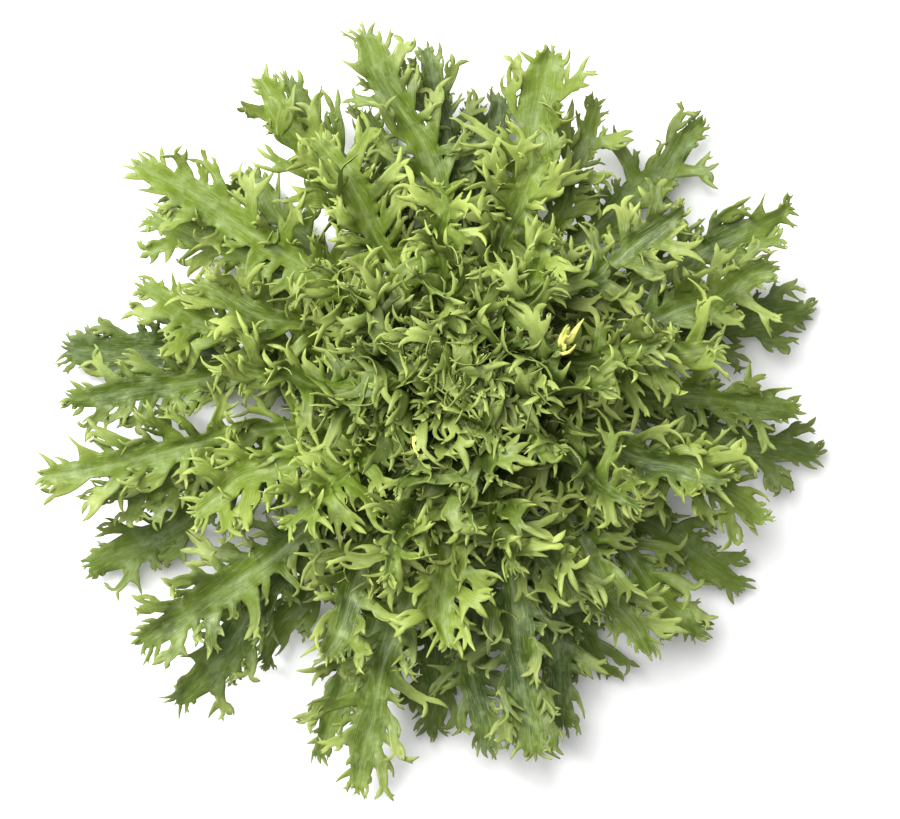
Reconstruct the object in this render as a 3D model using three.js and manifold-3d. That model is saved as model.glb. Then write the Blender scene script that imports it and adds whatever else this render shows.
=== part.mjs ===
// A curly endive head (frisee) standing on its cut stump, seen and spread as on a table.
// Millimetres, +Z up, origin at the centre of the stump's flat cut face.
// The head is one stump, five whorls of single leaves from the lowest, flattest ones up to the
// upright inner ones, and one tuft of small heart leaves. Each leaf is a thin arched blade with a
// keeled rib, cut into toothed lobes.
import * as THREE from "three";
import { mergeVertices } from "three/addons/utils/BufferGeometryUtils.js";
import Module from "manifold-3d";

// Stump
const STUMP_RADIUS = 16;
const STUMP_DOME_HEIGHT = 38;
const STUMP_TOP = 30;
const CUT_FACE_RADIUS = 14;
const CUT_BEVEL = 1.4;
const STUMP_SIDES = 18;
const ROOT_GAP = 0.9;
const LOWEST_ROOT = 6;
const ROOT_STEP = 3.7;
const STUMP_COLOUR = 0xd8d6b4;

// Blades
const BLADE_THICKNESS = 0.8;
const RIB_THICKNESS_AT_ROOT = 2.0;
const RIB_THICKNESS_AT_TIP = 0.9;
const ROOT_HALF_WIDTH = 2.8;
const STALK_HALF_WIDTH = 2.5;

// Places along a leaf, from 0 at its root to 1 at its tip
const FIRST_LOBE = 0.27;
const LAST_LOBE = 0.92;
const END_LOBES = 0.955;
const SHOULDERS = 0.965;

// How far the left margin's lobes stand before the right margin's, as a share of their spacing
const LOBE_STAGGER = 0.15;

// The rib's bend: the reach of its handles as shares of its chord, and how far it has turned towards
// the tip's direction at the far handle
const ROOT_HANDLE = 0.38;
const TIP_HANDLE = 0.32;
const TURN_AT_TIP_HANDLE = 0.8;

// How far a leaf's root follows the even spacing of its whorl, instead of its tip's own direction
const EVEN_SPACING = 0.75;

// Whorls from the lowest up. Each leaf is [direction of its tip in degrees, reach of its tip from
// the axis, half width of its blade].
const WHORLS = [
  {
    name: "outer_leaf",
    level: 0,
    lobes: 4,
    lobeLength: 10,
    lobeLift: 0,
    colour: 0x5f7d2c,
    leaves: [
      [12, 150, 8],
      [47, 150, 7],
      [82, 122, 6],
      [108, 120, 6.5],
      [134, 124, 6],
      [174, 162, 9],
      [206, 169, 8],
      [235, 138, 6.5],
      [266, 142, 7],
      [299, 135, 6],
      [325, 145, 6.5],
      [350, 152, 7],
    ],
  },
  {
    name: "lower_leaf",
    level: 1,
    lobes: 5,
    lobeLength: 10,
    lobeLift: 5,
    colour: 0x6b8a32,
    leaves: [
      [29, 156, 6],
      [62, 130, 5],
      [95, 139, 5],
      [118, 144, 5],
      [151, 143, 6.5],
      [181, 158, 6],
      [198, 152, 6],
      [228, 172, 8],
      [250, 160, 6],
      [274, 148, 7],
      [289, 146, 6],
      [313, 142, 6],
      [357, 140, 6],
    ],
  },
  {
    name: "middle_leaf",
    level: 2,
    lobes: 6,
    lobeLength: 11,
    lobeLift: 10,
    colour: 0x7d9b3e,
    leaves: [
      [20, 138, 8],
      [76, 141, 9],
      [104, 149, 8],
      [123, 148, 7],
      [144, 158, 8],
      [163, 134, 6],
      [191, 171, 7.5],
      [219, 164, 8],
      [256, 167, 8],
      [282, 152, 8],
      [306, 132, 6],
      [337, 136, 6.5],
    ],
  },
  {
    name: "upper_leaf",
    level: 3,
    lobes: 5,
    lobeLength: 15,
    lobeLift: 30,
    colour: 0x86a544,
    leaves: [
      [8, 108, 3.5],
      [38, 116, 3.5],
      [68, 98, 3.5],
      [118, 114, 4.5],
      [158, 112, 4],
      [206, 116, 4.5],
      [244, 120, 4.5],
      [268, 104, 4.5],
      [298, 98, 4.5],
      [342, 116, 4],
    ],
  },
  {
    name: "inner_leaf",
    level: 4,
    lobes: 5,
    lobeLength: 15,
    lobeLift: 45,
    colour: 0x94b24e,
    leaves: [
      [14, 84, 4.5],
      [54, 74, 4.5],
      [95, 80, 3.2],
      [137, 74, 3.5],
      [176, 92, 3.5],
      [218, 88, 3.5],
      [251, 82, 3.5],
      [287, 76, 3.2],
      [328, 88, 3.5],
    ],
  },
];

// Small leaves of the heart
const HEART = {
  farLevel: 5.4,
  nearLevel: 4.4,
  count: 13,
  lobes: 2,
  lobeLength: 16,
  lobeLift: 60,
  halfWidth: 3,
  colour: 0xa5bf5c,
  rootReach: 3,
  lowestRoot: 34,
  highestRoot: 42,
  nearReach: 8,
  farReach: 62,
  coreRadius: 7.5,
  coreTipRadius: 4,
  coreTop: 46,
  coreSides: 8,
};
const GOLDEN_ANGLE = 137.5;

const { lerp, smoothstep, degToRad } = THREE.MathUtils;

// A leaf's own random numbers, the same on every run
function dice(seed) {
  let state = seed * 7919 + 104729;
  const next = () => {
    state = (state * 48271) % 2147483647;
    return state / 2147483647;
  };
  next();
  return (low, high) => low + (high - low) * next();
}

function polar(azimuth, radius, height) {
  const angle = degToRad(azimuth);
  return new THREE.Vector3(radius * Math.cos(angle), radius * Math.sin(angle), height);
}

function stumpRadius(height) {
  return STUMP_RADIUS * Math.sqrt(1 - (height / STUMP_DOME_HEIGHT) ** 2);
}

// How a leaf is carried: the higher its level on the stump, the steeper it starts and the higher it ends
function posture(level) {
  return {
    startSlope: degToRad(12 + 11 * level),
    endSlope: degToRad(-14 + 4 * level + 1.2 * level * level),
    tipHeight: 9 + 18.2 * level - 0.65 * level * level,
    trough: degToRad(8 + 4 * level),
  };
}

// The rib's curve, and at any place on it the directions along the leaf, across it and out of its face
function ribOf({ rootAzimuth, tipAzimuth, rootReach, rootHeight, reach, level }) {
  const { startSlope, endSlope, tipHeight } = posture(level);
  const chord = Math.hypot(reach - rootReach, tipHeight - rootHeight);
  const out = ROOT_HANDLE * chord;
  const back = TIP_HANDLE * chord;
  const bent = lerp(rootAzimuth, tipAzimuth, TURN_AT_TIP_HANDLE);
  const curve = new THREE.CubicBezierCurve3(
    polar(rootAzimuth, rootReach, rootHeight),
    polar(rootAzimuth, rootReach + out * Math.cos(startSlope), rootHeight + out * Math.sin(startSlope)),
    polar(bent, reach - back * Math.cos(endSlope), tipHeight - back * Math.sin(endSlope)),
    polar(tipAzimuth, reach, tipHeight),
  );
  const side = polar(lerp(rootAzimuth, tipAzimuth, 0.5) + 90, 1, 0);
  return (t) => {
    const point = curve.getPoint(t);
    const along = curve.getTangent(t);
    const across = side.clone().addScaledVector(along, -side.dot(along)).normalize();
    const face = along.clone().cross(across);
    return { point, along, across, face };
  };
}

function halfWidthAt(t, widest) {
  const stalk = lerp(ROOT_HALF_WIDTH, STALK_HALF_WIDTH, smoothstep(t, 0, 0.2));
  const blade = (widest - STALK_HALF_WIDTH) * smoothstep(t, 0.2, 0.72);
  return stalk + blade - 0.4 * widest * smoothstep(t, 0.82, 1);
}

// A sheet collects points and the triangles between them, then becomes a closed thin blade
class Sheet {
  points = [];
  keel = [];
  triangles = [];

  add(point, keel = 0) {
    this.points.push(point);
    this.keel.push(keel);
    return this.points.length - 1;
  }

  face(a, b, c, flipped) {
    this.triangles.push(flipped ? [a, c, b] : [a, b, c]);
  }

  normals() {
    const normals = this.points.map(() => new THREE.Vector3());
    for (const [a, b, c] of this.triangles) {
      const edge = this.points[b].clone().sub(this.points[a]);
      const normal = edge.cross(this.points[c].clone().sub(this.points[a]));
      for (const corner of [a, b, c]) normals[corner].add(normal);
    }
    return normals.map((normal) => normal.normalize());
  }

  // Both faces share one pattern of triangles, and a rim joins them along the open edges
  solid() {
    const normals = this.normals();
    const count = this.points.length;
    const half = BLADE_THICKNESS / 2;
    const top = this.points.map((p, i) => p.clone().addScaledVector(normals[i], half));
    const bottom = this.points.map((p, i) => p.clone().addScaledVector(normals[i], -half - this.keel[i]));
    const edges = new Set(this.triangles.flatMap(([a, b, c]) => [`${a} ${b}`, `${b} ${c}`, `${c} ${a}`]));
    const index = [];
    for (const [a, b, c] of this.triangles) {
      index.push(a, b, c, count + a, count + c, count + b);
    }
    for (const edge of edges) {
      const [a, b] = edge.split(" ").map(Number);
      if (!edges.has(`${b} ${a}`)) {
        index.push(a, count + a, count + b, a, count + b, b);
      }
    }
    const geometry = new THREE.BufferGeometry().setFromPoints([...top, ...bottom]);
    geometry.setIndex(index);
    return geometry;
  }
}

// A lobe on the margin edge from near to far: a waist, a pointed end and perhaps a barb
function addLobe(sheet, near, far, place, { length, sweep, lift, curl, isLeft, hasBarb }) {
  const a = sheet.points[near];
  const b = sheet.points[far];
  const base = a.clone().lerp(b, 0.5);
  const width = a.distanceTo(b);
  const forward = b.clone().sub(a).normalize();
  const outward = place.across
    .clone()
    .multiplyScalar(isLeft ? Math.cos(lift) : -Math.cos(lift))
    .addScaledVector(place.face, Math.sin(lift));
  const heading = outward
    .clone()
    .multiplyScalar(Math.cos(sweep))
    .addScaledVector(place.along, Math.sin(sweep));
  const waist = base.clone().addScaledVector(heading, 0.5 * length);
  const tipHeading = heading
    .clone()
    .multiplyScalar(Math.cos(curl))
    .addScaledVector(place.face, Math.sin(curl))
    .addScaledVector(place.along, 0.3)
    .normalize();
  const tip = waist.clone().addScaledVector(tipHeading, 0.55 * length);
  const waistNear = sheet.add(waist.clone().addScaledVector(forward, -0.2 * width));
  const waistFar = sheet.add(waist.clone().addScaledVector(forward, 0.18 * width));
  const end = sheet.add(tip);
  sheet.face(near, far, waistFar, !isLeft);
  sheet.face(near, waistFar, waistNear, !isLeft);
  sheet.face(waistNear, waistFar, end, !isLeft);
  if (!hasBarb) return;
  const barb = sheet.add(
    sheet.points[waistNear]
      .clone()
      .addScaledVector(heading, 0.12 * length)
      .addScaledVector(forward, -0.25 * width)
      .addScaledVector(place.face, -0.06 * length),
  );
  sheet.face(near, waistNear, barb, !isLeft);
}

// One leaf as a sheet: a keeled rib with a margin on each side, lobes on the margins, three end lobes
function leafSheet(plan) {
  const roll = dice(plan.seed);
  const rib = ribOf(plan);
  const trough = posture(plan.level).trough;
  const sheet = new Sheet();
  const pitch = (LAST_LOBE - FIRST_LOBE) / plan.lobes;
  const places = [0, FIRST_LOBE * 0.5];
  for (let k = 0; k <= plan.lobes; k++) places.push(FIRST_LOBE + pitch * k);

  const marginPoint = (t, isLeft, shareOfWidth = 1) => {
    const { point, across, face } = rib(t);
    const half = shareOfWidth * halfWidthAt(t, plan.halfWidth);
    return point
      .clone()
      .addScaledVector(across, (isLeft ? half : -half) * Math.cos(trough))
      .addScaledVector(face, half * Math.sin(trough));
  };

  const stations = places.map((t, i) => {
    const stagger = i < 2 ? 0 : LOBE_STAGGER * pitch;
    const keel = lerp(RIB_THICKNESS_AT_ROOT, RIB_THICKNESS_AT_TIP, t) - BLADE_THICKNESS;
    return {
      t,
      centre: sheet.add(rib(t).point, keel),
      left: sheet.add(marginPoint(t + stagger, true)),
      right: sheet.add(marginPoint(t - stagger, false)),
    };
  });

  for (let i = 1; i < stations.length; i++) {
    const from = stations[i - 1];
    const to = stations[i];
    sheet.face(from.centre, to.centre, to.left);
    sheet.face(from.centre, to.left, from.left);
    sheet.face(from.right, to.right, to.centre);
    sheet.face(from.right, to.centre, from.centre);
    if (i < 3) continue;
    const t = (from.t + to.t) / 2;
    const place = rib(t);
    const share = (t - FIRST_LOBE) / (LAST_LOBE - FIRST_LOBE);
    const fullness = 0.62 + 0.5 * Math.sin(Math.PI * (0.15 + 0.7 * share));
    for (const isLeft of [true, false]) {
      const length = plan.lobeLength * fullness * roll(0.75, 1.2);
      const sweep = degToRad(lerp(22, 52, share) + roll(-8, 8));
      const curl = degToRad(roll(-35, 45));
      const lift = trough + degToRad(roll(-0.3, 1) * plan.lobeLift);
      const near = isLeft ? from.left : from.right;
      const far = isLeft ? to.left : to.right;
      const hasBarb = plan.barbed && (i % 2 === 0) === isLeft;
      addLobe(sheet, near, far, place, { length, sweep, lift, curl, isLeft, hasBarb });
    }
  }

  const last = stations[stations.length - 1];
  const shoulderLeft = sheet.add(marginPoint(SHOULDERS, true, 0.5));
  const shoulderRight = sheet.add(marginPoint(SHOULDERS, false, 0.5));
  const end = rib(1);
  const tip = sheet.add(end.point.clone().addScaledVector(end.across, roll(-3, 3)));
  sheet.face(last.centre, shoulderLeft, last.left);
  sheet.face(last.centre, shoulderRight, shoulderLeft);
  sheet.face(last.centre, last.right, shoulderRight);
  sheet.face(shoulderRight, tip, shoulderLeft);
  for (const isLeft of [true, false]) {
    const sign = isLeft ? 1 : -1;
    const reach = plan.lobeLength * roll(0.4, 0.6);
    const lift = plan.lobeLength * roll(-0.15, 0.25);
    const corner = marginPoint(END_LOBES, isLeft, 0.9)
      .addScaledVector(end.along, reach)
      .addScaledVector(end.across, sign * 0.45 * reach)
      .addScaledVector(end.face, lift);
    const barb = sheet.add(corner);
    if (isLeft) sheet.face(last.left, shoulderLeft, barb);
    else sheet.face(last.right, barb, shoulderRight);
  }
  return sheet;
}

function material(colour) {
  return new THREE.MeshStandardMaterial({ color: colour, roughness: 0.55, metalness: 0 });
}

function named(name, geometry, colour) {
  const mesh = new THREE.Mesh(geometry, material(colour));
  mesh.name = name;
  return mesh;
}

function stumpGeometry() {
  const profile = [new THREE.Vector2(0, 0), new THREE.Vector2(CUT_FACE_RADIUS, 0)];
  for (const height of [CUT_BEVEL, 9, 17, 24, STUMP_TOP]) {
    profile.push(new THREE.Vector2(stumpRadius(height), height));
  }
  profile.push(new THREE.Vector2(0, STUMP_TOP));
  const lathe = new THREE.LatheGeometry(profile, STUMP_SIDES);
  return lathe.rotateX(Math.PI / 2);
}

// The leaves of a whorl, their roots nearly evenly spaced round the stump
function whorlPlans(whorl, whorlNumber) {
  const count = whorl.leaves.length;
  const rootHeight = LOWEST_ROOT + ROOT_STEP * whorl.level;
  const drift = whorl.leaves.reduce((sum, [azimuth], k) => sum + azimuth - (360 * k) / count, 0) / count;
  return whorl.leaves.map(([tipAzimuth, reach, halfWidth], k) => ({
    name: `${whorl.name}_${String(k + 1).padStart(2, "0")}`,
    seed: 100 * (whorlNumber + 1) + k,
    barbed: true,
    level: whorl.level,
    lobes: whorl.lobes,
    lobeLength: whorl.lobeLength,
    lobeLift: whorl.lobeLift,
    rootAzimuth: lerp(tipAzimuth, drift + (360 * k) / count, EVEN_SPACING),
    rootHeight,
    rootReach: stumpRadius(rootHeight) + ROOT_GAP,
    tipAzimuth,
    reach,
    halfWidth,
  }));
}

function heartPlans() {
  return Array.from({ length: HEART.count }, (_, k) => {
    const inward = k / (HEART.count - 1);
    return {
      seed: 900 + k,
      barbed: false,
      level: lerp(HEART.farLevel, HEART.nearLevel, Math.sqrt(inward)),
      lobes: HEART.lobes,
      lobeLength: HEART.lobeLength,
      lobeLift: HEART.lobeLift,
      rootAzimuth: GOLDEN_ANGLE * k,
      rootHeight: lerp(HEART.lowestRoot, HEART.highestRoot, inward),
      rootReach: HEART.rootReach,
      tipAzimuth: GOLDEN_ANGLE * k,
      reach: lerp(HEART.farReach, HEART.nearReach, Math.sqrt(inward)),
      halfWidth: HEART.halfWidth,
    };
  });
}

const wasm = await Module();
wasm.setup();

function toManifold(geometry) {
  const bare = geometry.clone();
  bare.deleteAttribute("normal");
  bare.deleteAttribute("uv");
  const merged = mergeVertices(bare);
  const mesh = new wasm.Mesh({
    numProp: 3,
    vertProperties: new Float32Array(merged.attributes.position.array),
    triVerts: new Uint32Array(merged.index.array),
  });
  return new wasm.Manifold(mesh);
}

function toGeometry(manifold) {
  const mesh = manifold.getMesh();
  const geometry = new THREE.BufferGeometry();
  geometry.setAttribute("position", new THREE.BufferAttribute(new Float32Array(mesh.vertProperties), 3));
  geometry.setIndex(new THREE.BufferAttribute(new Uint32Array(mesh.triVerts), 1));
  return geometry;
}

// The heart: small leaves with their roots sunk in one slim core
function heartGeometry() {
  const height = HEART.coreTop - STUMP_TOP - ROOT_GAP;
  const core = new THREE.CylinderGeometry(HEART.coreTipRadius, HEART.coreRadius, height, HEART.coreSides);
  core.rotateX(Math.PI / 2).translate(0, 0, STUMP_TOP + ROOT_GAP + height / 2);
  let tuft = toManifold(core);
  for (const plan of heartPlans()) tuft = tuft.add(toManifold(leafSheet(plan).solid()));
  return toGeometry(tuft);
}

const head = new THREE.Group();
head.add(named("stump", stumpGeometry(), STUMP_COLOUR));
WHORLS.forEach((whorl, whorlNumber) => {
  const group = new THREE.Group();
  for (const plan of whorlPlans(whorl, whorlNumber)) {
    group.add(named(plan.name, leafSheet(plan).solid(), whorl.colour));
  }
  head.add(group);
});
head.add(named("heart", heartGeometry(), HEART.colour));

export default head;
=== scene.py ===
# The looks of a curly endive head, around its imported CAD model.
# Every leaf follows the rib, the margins and the main lobes of its CAD node, and adds finer lobes,
# teeth, curl, veins and a thin edge. Leaves are worked out in millimetres, and their meshes are in metres.
import math

import bpy
import numpy as np
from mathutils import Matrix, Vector


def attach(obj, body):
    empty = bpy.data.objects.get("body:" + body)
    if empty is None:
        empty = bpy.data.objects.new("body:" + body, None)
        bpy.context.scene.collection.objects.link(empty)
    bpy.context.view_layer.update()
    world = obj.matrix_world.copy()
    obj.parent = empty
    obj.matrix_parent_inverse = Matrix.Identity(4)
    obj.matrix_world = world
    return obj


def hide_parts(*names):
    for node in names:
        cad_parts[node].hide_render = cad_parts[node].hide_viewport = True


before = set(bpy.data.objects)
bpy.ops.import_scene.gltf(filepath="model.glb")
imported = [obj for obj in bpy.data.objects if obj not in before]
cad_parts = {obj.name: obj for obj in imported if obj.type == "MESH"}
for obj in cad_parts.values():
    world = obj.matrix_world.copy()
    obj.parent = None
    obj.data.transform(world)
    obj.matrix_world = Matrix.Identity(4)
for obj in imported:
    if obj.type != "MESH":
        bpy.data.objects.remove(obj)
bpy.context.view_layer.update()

MM = 0.001

# Stump, as in the CAD
STUMP_RADIUS = 16
STUMP_DOME_HEIGHT = 38
STUMP_TOP = 30
CUT_FACE_RADIUS = 14
CUT_BEVEL = 1.4
ROOT_GAP = 0.9
LOWEST_ROOT = 6
ROOT_STEP = 3.7

# Blades, as in the CAD
RIB_THICKNESS_AT_ROOT = 2.0
RIB_THICKNESS_AT_TIP = 0.9
ROOT_HALF_WIDTH = 2.8
STALK_HALF_WIDTH = 2.5
FIRST_LOBE = 0.27
LAST_LOBE = 0.92
LOBE_STAGGER = 0.15
EVEN_SPACING = 0.75
GOLDEN_ANGLE = 137.5
# The two handles of a rib's curve as shares of its span, and how far it has turned at the second
ROOT_HANDLE = 0.38
TIP_HANDLE = 0.32
TURN_AT_TIP_HANDLE = 0.8

# Whorls from the lowest up. As in the CAD are the level, which says how steeply a whorl stands, the main
# lobes on each margin with their length and lift in degrees, and the leaves: the direction of the tip in
# degrees, its reach from the axis, and the half width of the blade. The rest is the fine look: from plain
# at 0 to curly at 1, near the stump and at the tip, and how finely and how widely lobes are drawn.
WHORLS = [
    {
        "name": "outer_leaf", "level": 0, "lobes": 4, "lobe_length": 10, "lobe_lift": 0,
        "near_curl": 0.7, "far_curl": 0.1, "rows_per_lobe": 12, "far_width": 1.0, "lobe_half": 2.4,
        "curled_length": 0.9, "longest_stalk_lobe": 24,
        "leaves": [
            (12, 150, 8), (47, 150, 7), (82, 122, 6), (108, 120, 6.5), (134, 124, 6), (174, 162, 9),
            (206, 169, 8), (235, 138, 6.5), (266, 142, 7), (299, 135, 6), (325, 145, 6.5), (350, 152, 7),
        ],
    },
    {
        "name": "lower_leaf", "level": 1, "lobes": 5, "lobe_length": 10, "lobe_lift": 5,
        "near_curl": 0.85, "far_curl": 0.2, "rows_per_lobe": 10, "far_width": 1.1, "lobe_half": 2.4,
        "curled_length": 0.9, "longest_stalk_lobe": 24,
        "leaves": [
            (29, 156, 6), (62, 130, 5), (95, 139, 5), (118, 144, 5), (151, 143, 6.5), (181, 158, 6),
            (198, 152, 6), (228, 172, 8), (250, 160, 6), (274, 148, 7), (289, 146, 6), (313, 142, 6),
            (357, 140, 6),
        ],
    },
    {
        "name": "middle_leaf", "level": 2, "lobes": 6, "lobe_length": 11, "lobe_lift": 10,
        "near_curl": 0.95, "far_curl": 0.25, "rows_per_lobe": 8, "far_width": 1.05, "lobe_half": 2.4,
        "curled_length": 0.9, "longest_stalk_lobe": 24,
        "leaves": [
            (20, 138, 8), (76, 141, 9), (104, 149, 8), (123, 148, 7), (144, 158, 8), (163, 134, 6),
            (191, 171, 7.5), (219, 164, 8), (256, 167, 8), (282, 152, 8), (306, 132, 6), (337, 136, 6.5),
        ],
    },
    {
        "name": "upper_leaf", "level": 3, "lobes": 5, "lobe_length": 15, "lobe_lift": 30,
        "near_curl": 1.0, "far_curl": 0.4, "rows_per_lobe": 8, "far_width": 1.75, "lobe_half": 2.4,
        "curled_length": 0.4, "longest_stalk_lobe": 18,
        "leaves": [
            (8, 108, 3.5), (38, 116, 3.5), (68, 98, 3.5), (118, 114, 4.5), (158, 112, 4),
            (206, 116, 4.5), (244, 120, 4.5), (268, 104, 4.5), (298, 98, 4.5), (342, 116, 4),
        ],
    },
    {
        "name": "inner_leaf", "level": 4, "lobes": 5, "lobe_length": 15, "lobe_lift": 45,
        "near_curl": 1.0, "far_curl": 0.9, "rows_per_lobe": 6, "far_width": 1.3, "lobe_half": 2.5,
        "curled_length": 0.4, "longest_stalk_lobe": 18,
        "leaves": [
            (14, 84, 4.5), (54, 74, 4.5), (95, 80, 3.2), (137, 74, 3.5), (176, 92, 3.5),
            (218, 88, 3.5), (251, 82, 3.5), (287, 76, 3.2), (328, 88, 3.5),
        ],
    },
]

# The heart, as in the CAD: its farthest and its nearest leaf, where they grow from, and its slim core
HEART = {
    "far_level": 5.4, "near_level": 4.4, "far_reach": 62, "near_reach": 8,
    "root_reach": 3, "lowest_root": 34, "highest_root": 42,
    "core_radius": 7.5, "core_tip_radius": 4, "core_top": 46,
}
# The fine heart has more of these leaves in the same space, with more lobes
FINE_HEART_LEAVES = 32
HEART_LEAF = {
    "name": "heart", "lobes": 3, "lobe_length": 16, "lobe_lift": 60, "half_width": 3,
    "near_curl": 1.0, "far_curl": 1.0, "rows_per_lobe": 6, "far_width": 1.0, "lobe_half": 2.7,
    "curled_length": 0.4, "longest_stalk_lobe": 18, "stalk_lobe_rows": (5, 8),
}

# Where seeds start for the numbers that a leaf draws, the first two as in the CAD
WHORL_SEEDS = 100
HEART_SEEDS = 900
DETAIL_SEEDS = 5000
HABIT_SEEDS = 7000
TONE_SEEDS = 9000

# How finely a leaf is divided
STALK_ROWS = 12
END_ROWS = 6
COLUMNS = (1, 0.66, 0.36, 0.15, 0, -0.15, -0.36, -0.66, -1)
STRIP_ROWS = 6
TINE_ROWS = 4
TOOTH_ROWS = 2
LAST_ROW = 0.97
MOST_POINTS = 60000
# A strip of leaf that is neither rolled, cupped, uneven nor ribbed
PLAIN_FORM = {"twist": 0.0, "cup": 0.0, "settle": 0.0, "wobble": 0.0, "rib": 0.0}
# Rows on each side of a main lobe's middle that it grows from
LOBE_REACH_ROWS = 2
# Rows of the stalk that small lobes grow from
STALK_LOBE_ROWS = (2, 4, 6, 8, 10)
# Pointed branches at a leaf's tip: the first and the last column, and the turn aside in degrees
TIP_FAN = ((0, 2, -25), (2, 4, -8), (4, 6, 8), (6, 8, 25))
# Where branches may grow on a lobe: whether on its first margin, and from which row
BROAD_SPOTS = ((True, 1), (False, 2), (True, 4), (False, 3))
SLIM_SPOTS = ((True, 1), (False, 2))
# The rib's share of the half width, how much thinner it is than in the CAD, and half thicknesses
RIB_SPREAD = 0.36
RIB_THINNER = 0.6
BLADE_HALF_AT_ROOT = 0.32
BLADE_HALF_AT_TIP = 0.26
RIB_EXTRA_HALF = 0.12

# Lobes that have turned yellow: where the middle of one stands, how near to that, and above what height
PALE_PLACES = ((43.5, 21, 7.5, 74), (-15.2, -25.1, 1.6, 86))

# Leaves with longer small lobes, where their neighbours leave them room, and how much longer
FULLER_LEAVES = ("lower_leaf_06", "middle_leaf_07")
FULLER_LENGTH = 1.7

# Leaves that stand out as light or as dark in the head
LIGHT_LEAVES = (
    "lower_leaf_02", "lower_leaf_05", "middle_leaf_02", "middle_leaf_04", "middle_leaf_05", "middle_leaf_06",
    "middle_leaf_12", "upper_leaf_06", "upper_leaf_08",
)
DARK_LEAVES = (
    "outer_leaf_03", "outer_leaf_04", "outer_leaf_06", "lower_leaf_03", "lower_leaf_10", "lower_leaf_11",
    "middle_leaf_10", "upper_leaf_02", "upper_leaf_09",
)
# How light the green of a whole leaf is, from 0 to 1
LIGHT_TONE = 0.88
DARK_TONE = 0.05
OTHER_TONES = (0.2, 0.75)
EVEN_TONE = 0.5

# What is known at each point of a leaf, in the order of its columns
FACTS = ("x", "y", "z", "half", "keel", "tip", "rib", "grain_u", "grain_v", "pale")
HALF, KEEL, TIP, RIB, GRAIN_U, GRAIN_V, PALE = range(3, 10)
# Leaves that droop onto the table lie on it
LOWEST_UNDERSIDE = 0.12
LOWEST_TOP_SIDE = 0.5
# Above this height the lobes of the heart are pressed together
CANOPY_HEIGHT = 88
CANOPY_PRESS = 0.55

# The camera's height over the table, and the photograph's width and middle at the middle of the leaves'
# heights, in metres
CAMERA_HEIGHT = 1.6
FRAMED_HEIGHT = 0.035
FRAMED_WIDTH = 0.360
FRAMED_MIDDLE = (-0.002, -0.0086)
SENSOR_WIDTH = 36

# The stage. Of each lamp: its place, aim and size in metres, and its power in watts
TABLE_HALF_SIDE = 3.0
TABLE_WHITE = (0.9, 0.9, 0.9, 1)
TABLE_ROUGHNESS = 0.8
SKY_WHITE = (1, 1, 1, 1)
SKY_STRENGTH = 0.5
LAMPS = (
    ("softbox", (-0.3, 0.35, 1.5), (0, 0, 0), 1.0, 29),
    ("key", (-0.9, 0.8, 1.1), (0, 0, 0.04), 0.4, 42),
)


def lerp(low, high, share):
    return low + (high - low) * share


def smoothstep(value, low, high):
    share = min(max((value - low) / (high - low), 0.0), 1.0)
    return share * share * (3 - 2 * share)


class Dice:
    """A leaf's own random numbers, the same on every run and the same as in the CAD."""

    def __init__(self, seed):
        self.state = seed * 7919 + 104729
        self.roll(0, 1)

    def roll(self, low, high):
        self.state = (self.state * 48271) % 2147483647
        return low + (high - low) * self.state / 2147483647

    def angle(self, low, high):
        """An angle between two given in degrees, in radians."""
        return math.radians(self.roll(low, high))


def polar(azimuth, radius, height):
    angle = math.radians(azimuth)
    return np.array([radius * math.cos(angle), radius * math.sin(angle), height])


def unit(vector):
    return vector / np.linalg.norm(vector)


def stump_radius(height):
    return STUMP_RADIUS * math.sqrt(1 - (height / STUMP_DOME_HEIGHT) ** 2)


class Rib:
    """The curve of a leaf's rib, with the directions along it, across it and out of its face."""

    def __init__(self, plan):
        level = plan["level"]
        start_slope = math.radians(12 + 11 * level)
        end_slope = math.radians(-14 + 4 * level + 1.2 * level * level)
        tip_height = 9 + 18.2 * level - 0.65 * level * level
        self.trough = math.radians(8 + 4 * level)
        root_azimuth, tip_azimuth = plan["root_azimuth"], plan["tip_azimuth"]
        root_reach, root_height, reach = plan["root_reach"], plan["root_height"], plan["reach"]
        chord = math.hypot(reach - root_reach, tip_height - root_height)
        out = ROOT_HANDLE * chord
        back = TIP_HANDLE * chord
        bent = lerp(root_azimuth, tip_azimuth, TURN_AT_TIP_HANDLE)
        self.knots = np.array([
            polar(root_azimuth, root_reach, root_height),
            polar(
                root_azimuth,
                root_reach + out * math.cos(start_slope),
                root_height + out * math.sin(start_slope),
            ),
            polar(bent, reach - back * math.cos(end_slope), tip_height - back * math.sin(end_slope)),
            polar(tip_azimuth, reach, tip_height),
        ])
        self.side = polar(lerp(root_azimuth, tip_azimuth, 0.5) + 90, 1, 0)
        self.length = chord

    def at(self, t):
        a, b, c, d = self.knots
        s = 1 - t
        point = s**3 * a + 3 * s * s * t * b + 3 * s * t * t * c + t**3 * d
        along = unit(3 * s * s * (b - a) + 6 * s * t * (c - b) + 3 * t * t * (d - c))
        across = unit(self.side - self.side.dot(along) * along)
        return point, along, across, np.cross(along, across)


def half_width_at(t, widest):
    stalk = lerp(ROOT_HALF_WIDTH, STALK_HALF_WIDTH, smoothstep(t, 0, 0.2))
    blade = (widest - STALK_HALF_WIDTH) * smoothstep(t, 0.2, 0.72)
    return stalk + blade - 0.4 * widest * smoothstep(t, 0.82, 1)


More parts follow.
